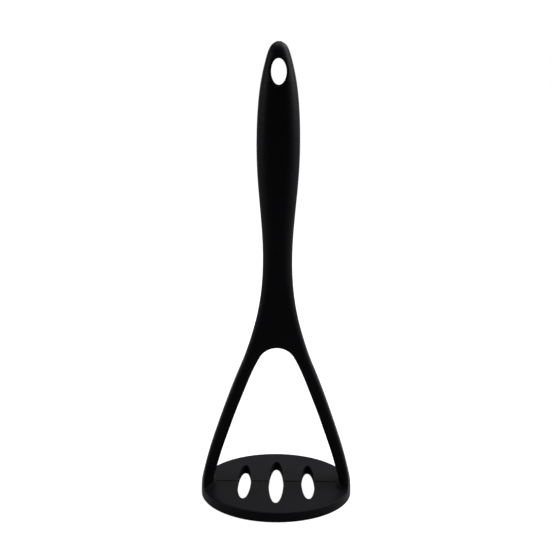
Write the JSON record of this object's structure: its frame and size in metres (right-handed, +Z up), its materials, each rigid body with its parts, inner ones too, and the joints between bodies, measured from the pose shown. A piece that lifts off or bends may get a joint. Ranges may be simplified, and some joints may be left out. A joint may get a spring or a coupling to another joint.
{
  "type": "potato masher",
  "caption": "Potato masher with a round slotted head, a forked neck and a long oval handle with a hanging hole, all covered in soft black silicone.",
  "frame": {"origin": "centre of the head's flat underside, where the masher stands on a table", "axes": "+Z up the handle, +X across the two arms of the fork, +Y from front to back"},
  "size_m": [0.09, 0.09, 0.2666],
  "materials": {
    "silicone": "matte",
    "plate_steel": "mill finish",
    "strap_steel": "mill finish",
    "rivet_steel": "bright",
    "nylon": "matte, glass filled"
  },
  "bodies": {
    "root": {"silicone_skin": "silicone", "head_plate": "plate_steel", "arm_strap_left": "strap_steel", "arm_strap_right": "strap_steel", "strap_rivets": "rivet_steel", "handle_core": "nylon"}
  },
  "joints": []
}
